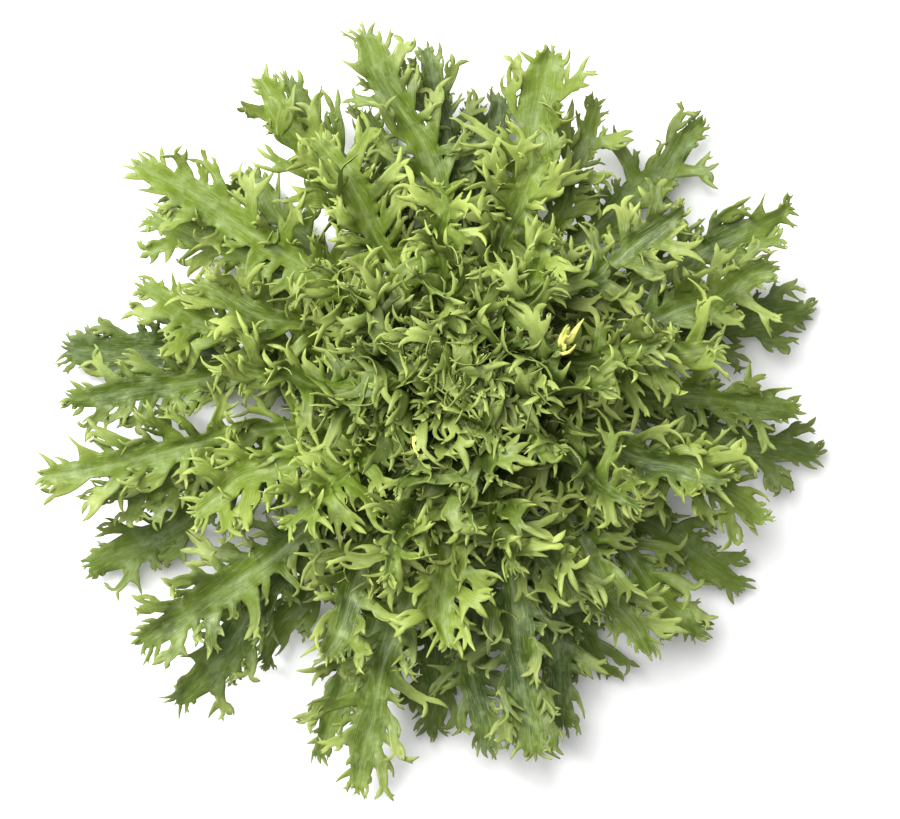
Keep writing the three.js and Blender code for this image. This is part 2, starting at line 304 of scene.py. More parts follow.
class Sheet:
    """A leaf's middle surface: its points with what is known at each, and the faces between them."""

    def __init__(self):
        self.points = np.zeros((MOST_POINTS, len(FACTS)))
        self.count = 0
        self.quads = []

    def add(self, rows):
        first = self.count
        self.count += len(rows)
        self.points[first:self.count] = rows
        return np.arange(first, self.count)

    def places(self, indices):
        return self.points[indices, :3]

    def join(self, low, high):
        """Faces between two neighbouring rows of points."""
        for k in range(len(low) - 1):
            self.quads.append((low[k], low[k + 1], high[k + 1], high[k]))


def turned(directions, yaw, pitch, twist):
    """Turns a ribbon's heading towards its side, then towards its face, and rolls it about its heading."""
    heading, side, face = directions
    cosine, sine = math.cos(yaw), math.sin(yaw)
    heading, side = cosine * heading + sine * side, cosine * side - sine * heading
    cosine, sine = math.cos(pitch), math.sin(pitch)
    heading, face = cosine * heading + sine * face, cosine * face - sine * heading
    cosine, sine = math.cos(twist), math.sin(twist)
    side, face = cosine * side + sine * face, cosine * face - sine * side
    return heading, side, face


def settled(directions, share):
    """Turns a ribbon's face towards the sky and its heading towards the level, by a share of the way."""
    heading, side, face = directions
    roll = math.atan2(-side[2], face[2])
    most = math.radians(28)
    heading, side, face = turned(directions, 0.0, 0.0, share * min(max(roll, -most), most))
    dip = -heading[2] / max(face[2], 0.4)
    return turned((heading, side, face), 0.0, share * min(max(dip, -0.5), 0.5), 0.0)


class Ribbon:
    """A strip of leaf: its grid of points, row by row, and its directions at each row."""

    def __init__(self):
        self.grid = []
        self.directions = []

    def add(self, indices, directions):
        self.grid.append(indices)
        self.directions.append(directions)

    def run(self, is_left, first, last):
        """The points of one margin, in the order that keeps a child's faces turned as its parent's."""
        if is_left:
            return np.array([row[0] for row in self.grid[first:last + 1]])
        return np.array([row[-1] for row in self.grid[first:last + 1]][::-1])


def on_margin(parent, is_left, first, last, sweep, lift):
    """Where a lobe starts on a margin: its points, and its directions, swept forward and lifted."""
    run = parent.run(is_left, first, last)
    parent_heading, parent_side, face = parent.directions[(first + last) // 2]
    outward = -parent_side if is_left else parent_side
    flat = unit(math.cos(sweep) * outward + math.sin(sweep) * parent_heading)
    heading = math.cos(lift) * flat + math.sin(lift) * face
    face = math.cos(lift) * face - math.sin(lift) * flat
    return run, (heading, np.cross(heading, face), face)


def on_end(parent, first, last, yaw):
    """Where a tine starts on the end of a ribbon."""
    return parent.grid[-1][first:last + 1], turned(parent.directions[-1], yaw, 0.0, 0.0)


def grow(sheet, start, form, dice):
    """Grows a strip of leaf from where it starts, and returns it as a ribbon of its own."""
    run, directions = start
    rows = form["rows"]
    step = form["length"] / rows
    base = sheet.points[run]
    ribbon = Ribbon()
    ribbon.add(run, directions)
    headings, sides, faces = [], [], []
    wobble = form["wobble"]
    for _ in range(rows):
        yaw = form["yaw"] / rows + dice.roll(-wobble, wobble)
        pitch = form["pitch"] / rows + dice.roll(-wobble, wobble)
        directions = turned(directions, yaw, pitch, form["twist"] / rows)
        if form["settle"] > 0:
            directions = settled(directions, form["settle"])
        ribbon.directions.append(directions)
        headings.append(directions[0])
        sides.append(directions[1])
        faces.append(directions[2])
    row = np.arange(1, rows + 1)
    share = row / rows
    columns = np.linspace(-1, 1, len(run))
    centres = (base[0, :3] + base[-1, :3]) / 2 + step * np.cumsum(headings, axis=0)
    half = form["end"] + (form["half"] - form["end"]) * (1 - share ** form["blunt"])
    across = half[:, None] * columns
    cupped = form["cup"] * half[:, None] * columns**2
    places = centres[:, None] + across[..., None] * np.array(sides)[:, None]
    places += cupped[..., None] * np.array(faces)[:, None]
    carried = base[None, :, :3] + (step * row)[:, None, None] * ribbon.directions[0][0]
    joined = np.clip(row / form["joint_rows"], 0, 1)
    joined = (joined * joined * (3 - 2 * joined))[:, None, None]
    block = np.zeros((rows, len(run), len(FACTS)))
    block[..., :3] = lerp(carried, places, joined)
    block[..., HALF] = lerp(form["thick"], form["thin"], share)[:, None]
    block[..., TIP] = lerp(base[:, TIP].mean(), form["tip"], share**1.2)[:, None]
    block[..., RIB] = form["rib"] * (1 - np.abs(columns)) ** 2 * (1 - share)[:, None]
    block[..., GRAIN_U] = across
    block[..., GRAIN_V] = (base[:, GRAIN_V].mean() + step * row)[:, None]
    block[..., PALE] = paleness(base, centres[rows // 2])
    indices = sheet.add(block.reshape(-1, len(FACTS))).reshape(rows, len(run))
    for one in indices:
        sheet.join(ribbon.grid[-1], one)
        ribbon.grid.append(one)
    return ribbon


def paleness(base, middle):
    """1 for a lobe that has turned yellow: one that stands at a pale place, or grows on such a lobe."""
    if base[:, PALE].mean() > 0.5:
        return 1.0
    x, y, z = middle
    for place_x, place_y, reach, least_height in PALE_PLACES:
        if math.hypot(x - place_x, y - place_y) < reach and z > least_height:
            return 1.0
    return 0.0


def add_tooth(sheet, start, length, forward, curly, dice):
    """A thin hooked tooth."""
    form = {
        **PLAIN_FORM,
        "rows": TOOTH_ROWS,
        "length": length,
        "yaw": forward * dice.angle(20, 80),
        "pitch": math.radians(dice.roll(-20, 40) * (0.4 + curly)),
        "half": 0.45,
        "end": 0.1,
        "blunt": 1.2,
        "joint_rows": 1.4,
        "thick": 0.16,
        "thin": 0.1,
        "tip": 1.0,
    }
    grow(sheet, start, form, dice)


def add_tine(sheet, start, length, half, turn, curly, dice):
    """A pointed branch that bends one way: nearly flat on a plain leaf, curled on a curly one."""
    bend = 12 + 70 * curly
    form = {
        **PLAIN_FORM,
        "rows": TINE_ROWS if len(start[0]) > 2 else TINE_ROWS - 1,
        "length": length,
        "yaw": turn,
        "pitch": dice.angle(-bend, bend),
        "twist": dice.angle(-bend, bend),
        "half": half,
        "end": 0.18,
        "blunt": dice.roll(0.9, 2.4),
        "cup": dice.roll(-0.2, 0.4),
        "joint_rows": 1.8,
        "settle": 0.25 * curly,
        "wobble": math.radians(3 + 7 * curly),
        "thick": 0.2,
        "thin": 0.12,
        "tip": dice.roll(0.55, 1.0),
    }
    tine = grow(sheet, start, form, dice)
    if len(start[0]) > 2 and dice.roll(0, 1) < 0.4 - 0.25 * curly:
        is_left = dice.roll(0, 1) < 0.5
        tooth_start = on_margin(tine, is_left, 2, 3, dice.angle(10, 50), 0.0)
        add_tooth(sheet, tooth_start, dice.roll(1.2, 2.6), 1 if is_left else -1, curly, dice)


def add_antler(sheet, start, length, half, turn, pitch, curly, dice):
    """A lobe like an antler: a strip with a forked end and pointed branches on its margins."""
    broad = len(start[0]) > 3
    strip_share = lerp(0.72, 0.64, curly)
    form = {
        "rows": STRIP_ROWS if broad else STRIP_ROWS - 2,
        "length": strip_share * length,
        "yaw": 0.6 * turn,
        "pitch": pitch,
        "twist": math.radians(dice.roll(-1, 1) * (12 + 75 * curly)),
        "half": half,
        "end": half * dice.roll(0.6, 1.1),
        "blunt": 1.6,
        "cup": dice.roll(-0.15, 0.4),
        "joint_rows": 2.6,
        "settle": 0.34 * curly,
        "wobble": math.radians(3 + 8 * curly),
        "thick": 0.26,
        "thin": 0.18,
        "tip": dice.roll(0.35, 0.8),
        "rib": 0.5 * (1 - 0.6 * curly),
    }
    strip = grow(sheet, start, form, dice)
    last_column = len(start[0]) - 1
    middle = last_column // 2
    rest = (1 - strip_share) * length
    opening = dice.angle(10, 38)
    for first, last, side in ((0, middle, -1), (middle, last_column, 1)):
        tine_length = rest * dice.roll(0.55, 1.25)
        tine_turn = dice.angle(-25, 85) * side
        tine_start = on_end(strip, first, last, side * opening)
        add_tine(sheet, tine_start, tine_length, 0.6 * half, tine_turn, curly, dice)
    span = 2 if broad else 1
    flip = dice.roll(0, 1) < 0.5
    for is_left, first in BROAD_SPOTS if broad else SLIM_SPOTS:
        if first + span > form["rows"] or dice.roll(0, 1) > 0.42 + 0.08 * curly:
            continue
        here = is_left != flip
        sweep = dice.angle(20, 60)
        lift = math.radians(dice.roll(-30, 50) * curly)
        branch_length = length * dice.roll(0.22, 0.5)
        branch_turn = dice.angle(-5, 100) * (1 if here else -1)
        branch_start = on_margin(strip, here, first, first + span, sweep, lift)
        add_tine(sheet, branch_start, branch_length, 0.55 * half, branch_turn, curly, dice)


def blade_row(rib, t, plan, stagger, shape):
    """One row of the blade, from its left margin over the rib to its right margin."""
    cut = shape["cut"] * smoothstep(t, 0.2, 0.5) * (1 - 0.6 * smoothstep(t, 0.75, 0.95))
    widening = lerp(1, plan["far_width"], smoothstep(t, 0.4, 0.75))
    width = (0.95 - 0.33 * plan["far_curl"]) * (1 - 0.25 * cut) * widening
    end = max((t - LAST_LOBE) / (1 - LAST_LOBE), 0.0)
    taper = 1 - 0.45 * end * end
    loose = smoothstep(t, 0.12, 0.45)
    drift = shape["drift"](t) * loose
    roll = shape["roll"](t) * loose
    cosine, sine = math.cos(roll), math.sin(roll)
    block = np.zeros((len(COLUMNS), len(FACTS)))
    # u runs across the blade, from 1 on its left margin over 0 on the rib to -1 on its right margin
    for k, u in enumerate(COLUMNS):
        margin = "left" if u > 0 else "right"
        shift = abs(u) * stagger * (1 if u > 0 else -1)
        here = min(max(t + shift, 0.0), 1.0)
        point, _, across, face = rib.at(here)
        across, face = cosine * across + sine * face, cosine * face - sine * across
        uneven = 1 + loose * shape[f"{margin}_width"](here)
        half = half_width_at(here, plan["half_width"]) * taper * width * uneven
        ruffle = shape[f"{margin}_ruffle"](here) * abs(u) ** 3
        wave = (shape[f"{margin}_wave"](here) * u * u + ruffle) * loose
        rise = abs(u) ** 1.25 * half * math.sin(rib.trough) + wave * taper + drift[1]
        aside = u * half * math.cos(rib.trough) + shape["tip_aside"] * end * end
        block[k, :3] = point + (aside + drift[0]) * across + rise * face
        on_rib = max(1 - abs(u) / RIB_SPREAD, 0.0)
        keel = lerp(RIB_THICKNESS_AT_ROOT, RIB_THICKNESS_AT_TIP, t) - RIB_THINNER
        block[k, HALF] = lerp(BLADE_HALF_AT_ROOT, BLADE_HALF_AT_TIP, t)
        block[k, HALF] += RIB_EXTRA_HALF * on_rib * (1 - 0.6 * t)
        block[k, KEEL] = keel * on_rib**0.7 * taper
        block[k, TIP] = 0.3 * smoothstep(t, 0.5, 1) + 0.15 * abs(u) ** 3
        block[k, RIB] = on_rib**0.6 * lerp(1, 0.3, t)
        block[k, GRAIN_U] = aside
        block[k, GRAIN_V] = t * rib.length
    _, along, across, face = rib.at(t)
    return block, turned((along, -across, face), 0.0, 0.0, -roll)


def slow_wave(dice, size, low, high):
    """A wave along the leaf from 0 to 1, of about the size given."""
    turns = dice.roll(low, high)
    phase = dice.roll(0, 2 * math.pi)
    finer = dice.roll(2, 3)
    size = dice.roll(0.6, 1) * size

    def height(t):
        angle = 2 * math.pi * turns * t + phase
        return size * (0.7 * math.sin(angle) + 0.3 * math.sin(finer * angle))

    return height


def blade_shape(plan, dice, detail, habit):
    """What is uneven about one blade: how far its tip lies aside, its margins' waves and widths, how
    deeply it is cut, and how its rib drifts and turns over."""
    far = plan["far_curl"]
    aside = slow_wave(detail, lerp(3.4, 4.6, far), 0.7, 1.6)
    rise = slow_wave(detail, lerp(1.5, 3.0, far), 0.7, 1.6)
    return {
        "tip_aside": dice.roll(-3, 3),
        "left_wave": slow_wave(detail, 2.0, 3, 5),
        "right_wave": slow_wave(detail, 2.0, 3, 5),
        "left_ruffle": slow_wave(detail, 1.0, 9, 13),
        "right_ruffle": slow_wave(detail, 1.0, 9, 13),
        "left_width": slow_wave(detail, 0.28, 2, 4),
        "right_width": slow_wave(detail, 0.28, 2, 4),
        "drift": lambda t: np.array([aside(t), rise(t)]),
        "cut": habit.roll(0, 1),
        "roll": slow_wave(habit, lerp(0.32, 0.5, far), 0.6, 1.4),
    }


def planned_lobes(plan, rib, dice):
    """The main lobes as in the CAD: which along the blade, on which margin, how long and how turned."""
    lobes = []
    for number in range(plan["lobes"]):
        share = (number + 0.5) / plan["lobes"]
        swell = 0.62 + 0.5 * math.sin(math.pi * (0.15 + 0.7 * share))
        for is_left in (True, False):
            lobes.append({
                "number": number,
                "is_left": is_left,
                "length": plan["lobe_length"] * swell * dice.roll(0.75, 1.2),
                "sweep": math.radians(lerp(22, 52, share) + dice.roll(-8, 8)),
                "curl": dice.angle(-35, 45),
                "lift": rib.trough + math.radians(dice.roll(-0.3, 1) * plan["lobe_lift"]),
            })
    return lobes


class FineLeaf:
    """One leaf: the blade and the main lobes as in the CAD, and the small lobes and teeth between them."""

    def __init__(self, plan):
        dice = Dice(plan["seed"])
        self.plan = plan
        self.rib = Rib(plan)
        self.lobes = planned_lobes(plan, self.rib, dice)
        self.detail = Dice(plan["seed"] + DETAIL_SEEDS)
        self.shape = blade_shape(plan, dice, self.detail, Dice(plan["seed"] + HABIT_SEEDS))
        self.sheet = Sheet()
        self.blade = Ribbon()
        # How far along the rib each row of the blade lies: on the stalk, at the lobes, and at the end
        self.spacing = (LAST_LOBE - FIRST_LOBE) / plan["lobes"]
        self.lobe_rows = plan["rows_per_lobe"]
        lobed = range(plan["lobes"] * self.lobe_rows)
        self.stations = [FIRST_LOBE * k / STALK_ROWS for k in range(STALK_ROWS)]
        self.stations += [FIRST_LOBE + self.spacing * k / self.lobe_rows for k in lobed]
        self.stations += [lerp(LAST_LOBE, LAST_ROW, k / END_ROWS) for k in range(END_ROWS + 1)]

    def middle_row(self, lobe):
        return STALK_ROWS + self.lobe_rows * lobe["number"] + self.lobe_rows // 2

    def curl_at(self, row):
        """How curly the leaf is at a row of its blade, from 0 to 1."""
        share = smoothstep(self.stations[row], 0.5, 1.0)
        return lerp(self.plan["near_curl"], self.plan["far_curl"], share)

    def lay_blade(self):
        for t in self.stations:
            open_share = smoothstep(t, FIRST_LOBE / 2, FIRST_LOBE) * (1 - smoothstep(t, LAST_LOBE, 1))
            stagger = LOBE_STAGGER * self.spacing * open_share
            block, directions = blade_row(self.rib, t, self.plan, stagger, self.shape)
            indices = self.sheet.add(block)
            if self.blade.grid:
                self.sheet.join(self.blade.grid[-1], indices)
            self.blade.add(indices, directions)

    def add_main_lobe(self, lobe):
        """A main lobe of the CAD, forked and branched, and the more curled the curlier the leaf is there."""
        detail = self.detail
        is_left = lobe["is_left"]
        middle = self.middle_row(lobe)
        curly = self.curl_at(middle)
        forward = 1 if is_left else -1
        half = self.plan["lobe_half"] * detail.roll(0.7, 1.25)
        turn = forward * detail.angle(8 - 70 * curly, 60 + 40 * curly)
        pitch = lobe["curl"] + math.radians(detail.roll(-70, 70) * curly)
        sweep = lobe["sweep"] + math.radians(detail.roll(-35, 25) * curly)
        lift = lobe["lift"] + math.radians(detail.roll(-10, 45) * curly)
        first, last = middle - LOBE_REACH_ROWS, middle + LOBE_REACH_ROWS
        start = on_margin(self.blade, is_left, first, last, sweep, lift)
        if curly < 0.5 and detail.roll(0, 1) < 0.3:
            add_tine(self.sheet, start, 1.1 * lobe["length"], 1.0, 1.5 * turn, curly, detail)
        else:
            longer = 1.2 + self.plan["curled_length"] * curly + 0.6 * self.shape["cut"] * (1 - curly)
            add_antler(self.sheet, start, longer * lobe["length"], half, turn, pitch, curly, detail)

    def add_small_lobe(self, is_left, first, length):
        """A small lobe on two rows of the margin."""
        detail = self.detail
        curly = self.curl_at(first)
        forward = 1 if is_left else -1
        lift = math.radians(detail.roll(-20, 95) * curly)
        sweep = detail.angle(10, 60)
        start = on_margin(self.blade, is_left, first, first + 2, sweep, lift)
        half = lerp(0.45, 0.8, curly) * self.plan["lobe_half"] * detail.roll(0.8, 1.25)
        turn = forward * detail.angle(-50 * curly, 80)
        pitch = math.radians(detail.roll(-80, 80) * curly)
        if length < 4 or (curly < 0.35 and detail.roll(0, 1) < 0.6):
            add_tine(self.sheet, start, length, 0.8 * half, turn, curly, detail)
        else:
            add_antler(self.sheet, start, length, half, turn, pitch, curly, detail)

    def add_lobes_after(self, lobe):
        """Small lobes on the margin between a main lobe and the next."""
        small_length = self.plan["lobe_length"] * (FULLER_LENGTH if self.plan["name"] in FULLER_LEAVES else 1)
        first = self.middle_row(lobe) + LOBE_REACH_ROWS
        gap = self.lobe_rows - 2 * LOBE_REACH_ROWS
        while gap >= 2:
            width = 3 if gap in (3, 5) else 2
            curly = self.curl_at(first)
            plain, curled = self.detail.roll(0.12, 0.85), self.detail.roll(0.7, 1.3)
            if gap >= 4:
                first += 1
                gap -= 1
            if self.detail.roll(0, 1) > 0.2 * (1 - curly):
                self.add_small_lobe(lobe["is_left"], first, small_length * lerp(plain, curled, curly))
            first += width
            gap -= width

    def add_end_tines(self):
        """Pointed branches on both margins past the last main lobe."""
        detail = self.detail
        end_row = STALK_ROWS + self.lobe_rows * self.plan["lobes"]
        for is_left in (True, False):
            forward = 1 if is_left else -1
            for first in (end_row, end_row + 3):
                sweep = detail.angle(30, 60)
                start = on_margin(self.blade, is_left, first, first + 2, sweep, 0.0)
                turn = forward * detail.angle(-10, 70)
                length = self.plan["lobe_length"] * detail.roll(0.15, 0.75)
                half = detail.roll(0.8, 1.5)
                add_tine(self.sheet, start, length, half, turn, self.plan["far_curl"], detail)

    def add_tip_fan(self):
        """Pointed branches side by side on the end of the blade."""
        detail = self.detail
        tip_length = (1 - LAST_ROW) * self.rib.length
        for first, last, yaw in TIP_FAN:
            start = on_end(self.blade, first, last, math.radians(yaw + detail.roll(-10, 10)))
            turn = detail.angle(-45, 45)
            length = tip_length * detail.roll(0.5, 1.6)
            half = detail.roll(0.7, 1.3)
            add_tine(self.sheet, start, length, half, turn, self.plan["far_curl"], detail)

    def add_stalk_lobes(self):
        """Small lobes on both margins of the stalk, longer towards the blade."""
        longest = self.plan["longest_stalk_lobe"]
        for first in self.plan["stalk_lobe_rows"]:
            for is_left in (True, False):
                length = self.detail.roll(0.45, 1) * longest * (first + 4) / STALK_ROWS
                self.add_small_lobe(is_left, first, length)


def leaf_skin(plan):
    """The closed skin of one leaf, with all its lobes and teeth."""
    leaf = FineLeaf(plan)
    leaf.lay_blade()
    for lobe in leaf.lobes:
        leaf.add_main_lobe(lobe)
        if lobe["number"] + 1 < plan["lobes"]:
            leaf.add_lobes_after(lobe)
    leaf.add_end_tines()
    leaf.add_tip_fan()
    leaf.add_stalk_lobes()
    return closed_leaf(leaf.sheet)


def closed_leaf(sheet):
    """A leaf's closed skin: both faces, set off from its middle surface, and a sharp-edged rim along the
    open edges. Returns its points, its faces, and which of the faces are smooth."""
    points = sheet.points[:sheet.count]
    above = np.maximum(points[:, 2] - CANOPY_HEIGHT, 0.0)
    points[:, 2] -= (1 - CANOPY_PRESS) * above
    quads = np.array(sheet.quads)
    a, b, c, d = (points[quads[:, k], :3] for k in range(4))
    face_normals = np.cross(c - a, d - b)
    normals = np.zeros((len(points), 3))
    for k in range(4):
        np.add.at(normals, quads[:, k], face_normals)
    normals /= np.maximum(np.linalg.norm(normals, axis=1, keepdims=True), 1e-9)
    top, bottom = points.copy(), points.copy()
    top[:, :3] += normals * points[:, HALF, None]
    bottom[:, :3] -= normals * (points[:, HALF, None] + points[:, KEEL, None])
    top[:, 2] = np.maximum(top[:, 2], LOWEST_TOP_SIDE)
    bottom[:, 2] = np.maximum(bottom[:, 2], LOWEST_UNDERSIDE)
    count = len(points)
    # An edge is on the rim where no neighbour runs along it the other way
    ends = np.concatenate([quads[:, [k, (k + 1) % 4]] for k in range(4)])
    is_rim = ~np.isin(ends[:, 0] * count + ends[:, 1], ends[:, 1] * count + ends[:, 0])
    rim = ends[is_rim]
    rim_faces = np.stack([rim[:, 0], rim[:, 0] + count, rim[:, 1] + count, rim[:, 1]], axis=1)
    faces = np.concatenate([quads, quads[:, ::-1] + count, rim_faces])
    return np.concatenate([top, bottom]), faces, np.arange(len(faces)) < 2 * len(quads)


def lathed(profile, sides, wobble, seed):
    """A closed skin turned from (radius, height) places, the first and the last of them on the axis. Its
    radius varies a little by angle and height."""
    dice = Dice(seed)
    phases = [(n, dice.roll(0, 2 * math.pi), dice.roll(0.4, 1) * wobble) for n in (2, 3, 5, 8, 13)]
    points, quads = [], []

    def add_point(radius, angle, height):
        sway = sum(size * math.cos(n * angle + phase + 0.35 * height) for n, phase, size in phases)
        here = radius + min(radius / 4, 1) * sway
        row = np.zeros(len(FACTS))
        row[:3] = here * math.cos(angle), here * math.sin(angle), height
        row[RIB] = 0.8
        row[GRAIN_U] = here
        row[GRAIN_V] = height
        points.append(row)

    rings = profile[1:-1]
    for radius, height in rings:
        for k in range(sides):
            add_point(radius, 2 * math.pi * k / sides, height)
    for ring in range(len(rings) - 1):
        for k in range(sides):
            low, high = ring * sides, (ring + 1) * sides
            after = (k + 1) % sides
            quads.append((low + k, low + after, high + after, high + k))
    top = (len(rings) - 1) * sides
    low_pole, high_pole = len(points), len(points) + 1
    add_point(0, 0, profile[0][1])
    add_point(0, 0, profile[-1][1])
    for k in range(0, sides, 2):
        after = (k + 2) % sides
        quads.append((low_pole, after, k + 1, k))
        quads.append((high_pole, top + k, top + k + 1, top + after))
    return np.array(points), np.array(quads), np.ones(len(quads), bool)


def set_fact(mesh, name, values):
    layer = mesh.attributes.new(name, "FLOAT", "POINT")
    layer.data.foreach_set("value", values.astype(np.float32))


def skin_mesh(name, skins, tone):
    """One mesh from closed skins, in metres, with its tone and what is known at its points as attributes."""
    points, faces, smooth, offset = [], [], [], 0
    for skin_points, skin_faces, skin_smooth in skins:
        points.append(skin_points)
        faces.append(skin_faces + offset)
        smooth.append(skin_smooth)
        offset += len(skin_points)
    points = np.concatenate(points)
    mesh = bpy.data.meshes.new(name)
    mesh.from_pydata((points[:, :3] * MM).tolist(), [], np.concatenate(faces).tolist())
    mesh.polygons.foreach_set("use_smooth", np.concatenate(smooth))
    for fact in ("tip", "rib", "pale"):
        set_fact(mesh, fact, points[:, FACTS.index(fact)])
    set_fact(mesh, "tone", np.full(len(points), tone))
    grain = np.zeros((len(points), 3), np.float32)
    grain[:, 0] = points[:, GRAIN_U]
    grain[:, 1] = points[:, GRAIN_V]
    layer = mesh.attributes.new("grain", "FLOAT_VECTOR", "POINT")
    layer.data.foreach_set("vector", grain.ravel())
    return mesh


def add_object(name, data):
    thing = bpy.data.objects.new(name, data)
    bpy.context.scene.collection.objects.link(thing)
    return thing


def add_piece(name, mesh, material, node):
    piece = add_object(name, mesh)
    mesh.materials.append(material)
    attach(piece, "root")
    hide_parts(node)


def srgb(red, green, blue):
    """A colour given as a screen shows it, from 0 to 255, in the linear values that a shader takes."""
    parts = [value / 255 for value in (red, green, blue)]
    return tuple(p / 12.92 if p <= 0.04045 else ((p + 0.055) / 1.055) ** 2.4 for p in parts) + (1.0,)


class Wiring:
    """Short forms for a material's nodes."""

    def __init__(self, name):
        self.material = bpy.data.materials.new(name)
        self.material.use_nodes = True
        self.tree = self.material.node_tree
        self.shader = self.tree.nodes["Principled BSDF"]

    def new(self, kind, **settings):
        node = self.tree.nodes.new(kind)
        for key, value in settings.items():
            setattr(node, key, value)
        return node

    def plug(self, target, value):
        if isinstance(value, bpy.types.NodeSocket):
            self.tree.links.new(value, target)
        else:
            target.default_value = value

    def fill(self, node, inputs):
        for name, value in inputs.items():
            self.plug(node.inputs[name], value)

    def fact(self, name, output="Fac"):
        return self.new("ShaderNodeAttribute", attribute_name=name).outputs[output]

    def object_place(self):
        return self.new("ShaderNodeTexCoord").outputs["Object"]

    def height(self):
        split = self.new("ShaderNodeSeparateXYZ")
        self.plug(split.inputs[0], self.object_place())
        return split.outputs["Z"]

    def noise(self, vector, scale, detail=2.0, stretch=None):
        if stretch is not None:
            mapping = self.new("ShaderNodeMapping")
            self.fill(mapping, {"Vector": vector, "Scale": stretch})
            vector = mapping.outputs["Vector"]
        node = self.new("ShaderNodeTexNoise")
        self.fill(node, {"Vector": vector, "Scale": scale, "Detail": detail})
        return node.outputs["Fac"]

    def math(self, operation, first, second):
        node = self.new("ShaderNodeMath", operation=operation)
        self.plug(node.inputs[0], first)
        self.plug(node.inputs[1], second)
        return node.outputs[0]

    def span(self, value, low, high, to_low=0.0, to_high=1.0):
        """How far a value is between two ends, eased at both, as a value between two others."""
        node = self.new("ShaderNodeMapRange", interpolation_type="SMOOTHSTEP")
        ends = {"From Min": low, "From Max": high, "To Min": to_low, "To Max": to_high}
        self.fill(node, {"Value": value, **ends})
        return node.outputs["Result"]

    def blend(self, share, first, second):
        node = self.new("ShaderNodeMix", data_type="RGBA")
        self.fill(node, {"Factor": share, "A": first, "B": second})
        return node.outputs["Result"]

    def bump(self, height, strength, distance, normal=None):
        node = self.new("ShaderNodeBump")
        self.fill(node, {"Height": height, "Strength": strength, "Distance": distance})
        if normal is not None:
            self.plug(node.inputs["Normal"], normal)
        return node.outputs["Normal"]


# Leaf colours of each whorl as a screen shows them: the dark and the light green of its blades, the
# green of its tips, and the green of its ribs and veins, also used for painted sheen in pale patches
LEAF_COLOURS = {
    "outer_leaf": ((39, 55, 16), (80, 98, 25), (121, 133, 71), (126, 140, 96)),
    "lower_leaf": ((41, 58, 17), (83, 101, 26), (132, 144, 76), (132, 146, 98)),
    "middle_leaf": ((43, 60, 17), (87, 105, 27), (145, 156, 86), (138, 152, 104)),
    "upper_leaf": ((42, 59, 16), (89, 107, 29), (159, 171, 90), (144, 158, 104)),
    # The inner leaves' and the heart's greens are darkened as painted shade of the middle of the head
    "inner_leaf": ((37, 54, 13), (85, 105, 28), (160, 173, 90), (138, 151, 92)),
    "heart": ((30, 48, 11), (72, 91, 24), (151, 164, 87), (119, 133, 74)),
}
PALE_COLOUR = (196, 198, 100)
# The near-black green painted as shade deep inside the head
PAINTED_SHADE_COLOUR = (16, 24, 5)

# The heights, in metres, between which a leaf of the middle goes from painted deep shade to its full green
PAINTED_SHADE_HEIGHTS = {"upper_leaf": (0.017, 0.04), "inner_leaf": (0.029, 0.055), "heart": (0.055, 0.086)}

# How much the slow patches, the streaks and the leaf's own tone count in its green, and between which sums
# of them the green goes from dark to light
PATCH_WEIGHT = 1.1
STREAK_WEIGHT = 0.55
TONE_WEIGHT = 0.6
GREEN_SUMS = (0.6, 1.45)
# How far veins, painted sheen in pale patches, ribs and tips go to their own green
VEIN_SHARE = 0.3
PAINTED_SHEEN_SHARE = 0.3
RIB_SHARE = 0.4
TIP_SHARE = 0.75
# How rough the leaf is, from the smoothest to the roughest spot, and how strongly it mirrors
LEAF_ROUGHNESS = (0.36, 0.52)
LEAF_MIRRORING = 0.18


